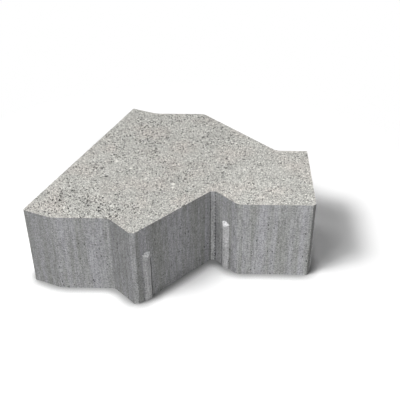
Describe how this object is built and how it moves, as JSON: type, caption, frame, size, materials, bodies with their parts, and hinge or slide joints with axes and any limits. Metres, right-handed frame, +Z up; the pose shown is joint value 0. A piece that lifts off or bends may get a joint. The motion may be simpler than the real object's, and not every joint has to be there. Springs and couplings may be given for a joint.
{
  "type": "edging stone",
  "caption": "Concrete edging stone for interlocking paving: a straight outer side, zigzag nesting sides with upright spacer ribs, and a stepped head past a square notch.",
  "frame": {"origin": "middle of the straight edging side, on the bed that the stone lies on", "axes": "+X from the straight edging side into the paving, square to that side; +Y along that side; +Z up, from the bed to the wearing face"},
  "size_m": [0.23, 0.2185, 0.08],
  "materials": {
    "pressed_concrete": "rough, open-grained pressed concrete, grey"
  },
  "bodies": {
    "root": {"edging_stone": "pressed_concrete"}
  },
  "joints": []
}
